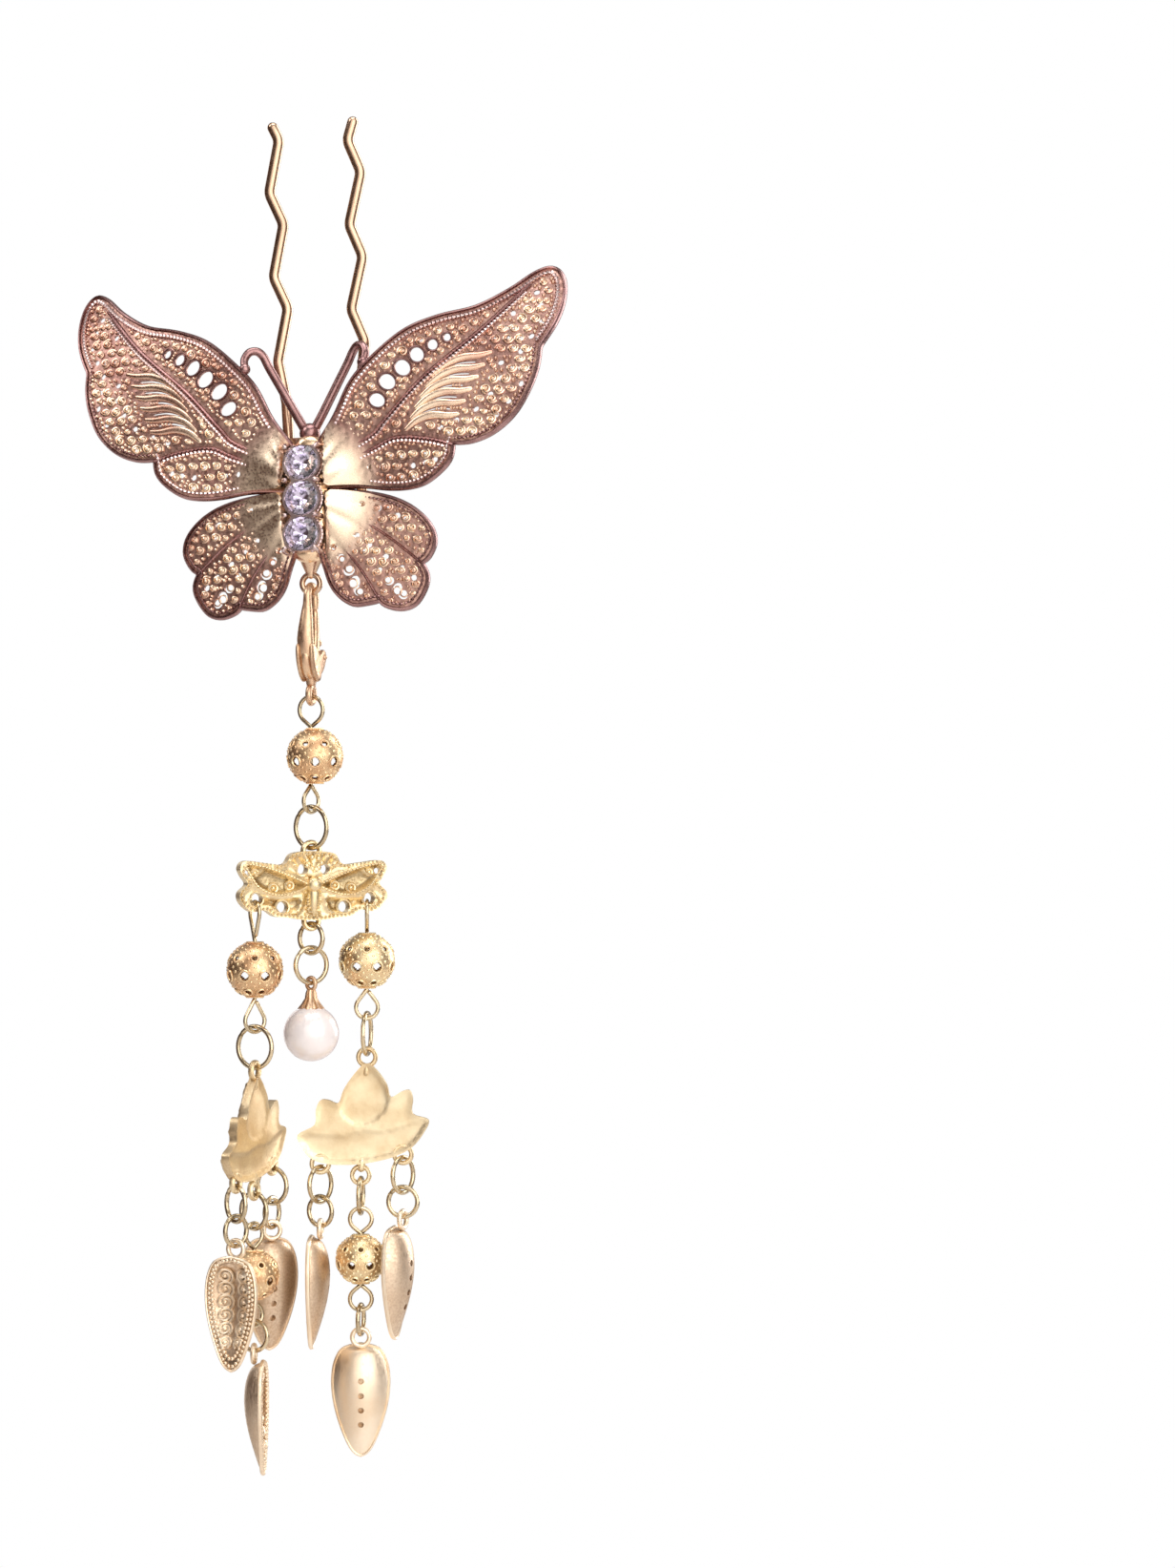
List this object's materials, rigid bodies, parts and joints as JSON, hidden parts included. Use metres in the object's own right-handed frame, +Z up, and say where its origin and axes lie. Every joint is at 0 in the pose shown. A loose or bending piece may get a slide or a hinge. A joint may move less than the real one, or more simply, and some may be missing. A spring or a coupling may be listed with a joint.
{
  "type": "buyao hairpin",
  "caption": "Butterfly buyao hairpin: wavy two-prong pin, filigree butterfly with crystals, and a clasped-on drop of beads, a pearl and lotus tassels",
  "frame": {"origin": "midway between the two prongs, at the middle of their wavy length, where the hair grips the pin", "axes": "+Z is up along the hairpin towards the prongs' open tips, +X is to the viewer's right as the butterfly is seen from the front, and -Y is the side the butterfly's front and the stones face; the drop hangs plumb along -Z"},
  "size_m": [0.0532, 0.0196, 0.1415],
  "materials": {
    "pin_wire": "drawn wire, antique gold plated",
    "rose_gold": "antique rose gold plated filigree",
    "setting": "plated cup strip",
    "crystal": "faceted clear crystal",
    "gold": "polished gold plate",
    "cast_gold": "satin gold plated casting",
    "leaf_gold": "gold plated stamping",
    "pearl": "nacre coated imitation pearl"
  },
  "bodies": {
    "pin": {"hairpin": "pin_wire", "butterfly": "rose_gold", "stone_setting": "setting", "stone_top": "crystal", "stone_middle": "crystal", "stone_bottom": "crystal"},
    "clasp_body": {"clasp": "gold"},
    "lever": {"clasp_lever": "gold"},
    "drop": {"top_wire": "gold", "top_bead": "gold", "top_ring": "gold", "butterfly_plate": "cast_gold", "pearl_link": "gold", "pearl_ring": "gold", "pearl_cap": "gold", "pearl": "pearl", "left_wire": "gold", "left_bead": "gold", "left_ring": "gold", "left_lotus": "cast_gold", "right_wire": "gold", "right_bead": "gold", "right_ring": "gold", "right_lotus": "cast_gold", "left_front_ring": "gold", "left_front_link": "gold", "left_front_leaf": "leaf_gold", "left_rear_ring": "gold", "left_rear_link": "gold", "left_rear_leaf": "leaf_gold", "right_inner_ring": "gold", "right_inner_link": "gold", "right_inner_leaf": "leaf_gold", "right_outer_ring": "gold", "right_outer_link": "gold", "right_outer_leaf": "leaf_gold", "left_middle_ring": "gold", "left_middle_wire": "gold", "left_middle_bead": "gold", "left_middle_link": "gold", "left_middle_leaf": "leaf_gold", "right_middle_ring": "gold", "right_middle_wire": "gold", "right_middle_bead": "gold", "right_middle_link": "gold", "right_middle_leaf": "leaf_gold"}
  },
  "joints": [
    {"name": "clasp_swing", "type": "hinge", "parent": "pin", "child": "clasp_body", "pos_m": [0.00076, -0.00429, -0.0373], "axis": [1, 0, 0], "range_deg": [-30, 30]},
    {"name": "lever_press", "type": "hinge", "parent": "clasp_body", "child": "lever", "pos_m": [0.00076, -0.00299, -0.044], "axis": [1, 0, 0], "range_deg": [0, 20], "stiffness_Nm_per_rad": 0.001},
    {"name": "drop_sway", "type": "hinge", "parent": "clasp_body", "child": "drop", "pos_m": [0.00076, -0.00429, -0.04875], "axis": [0, 1, 0], "range_deg": [-25, 25]}
  ]
}
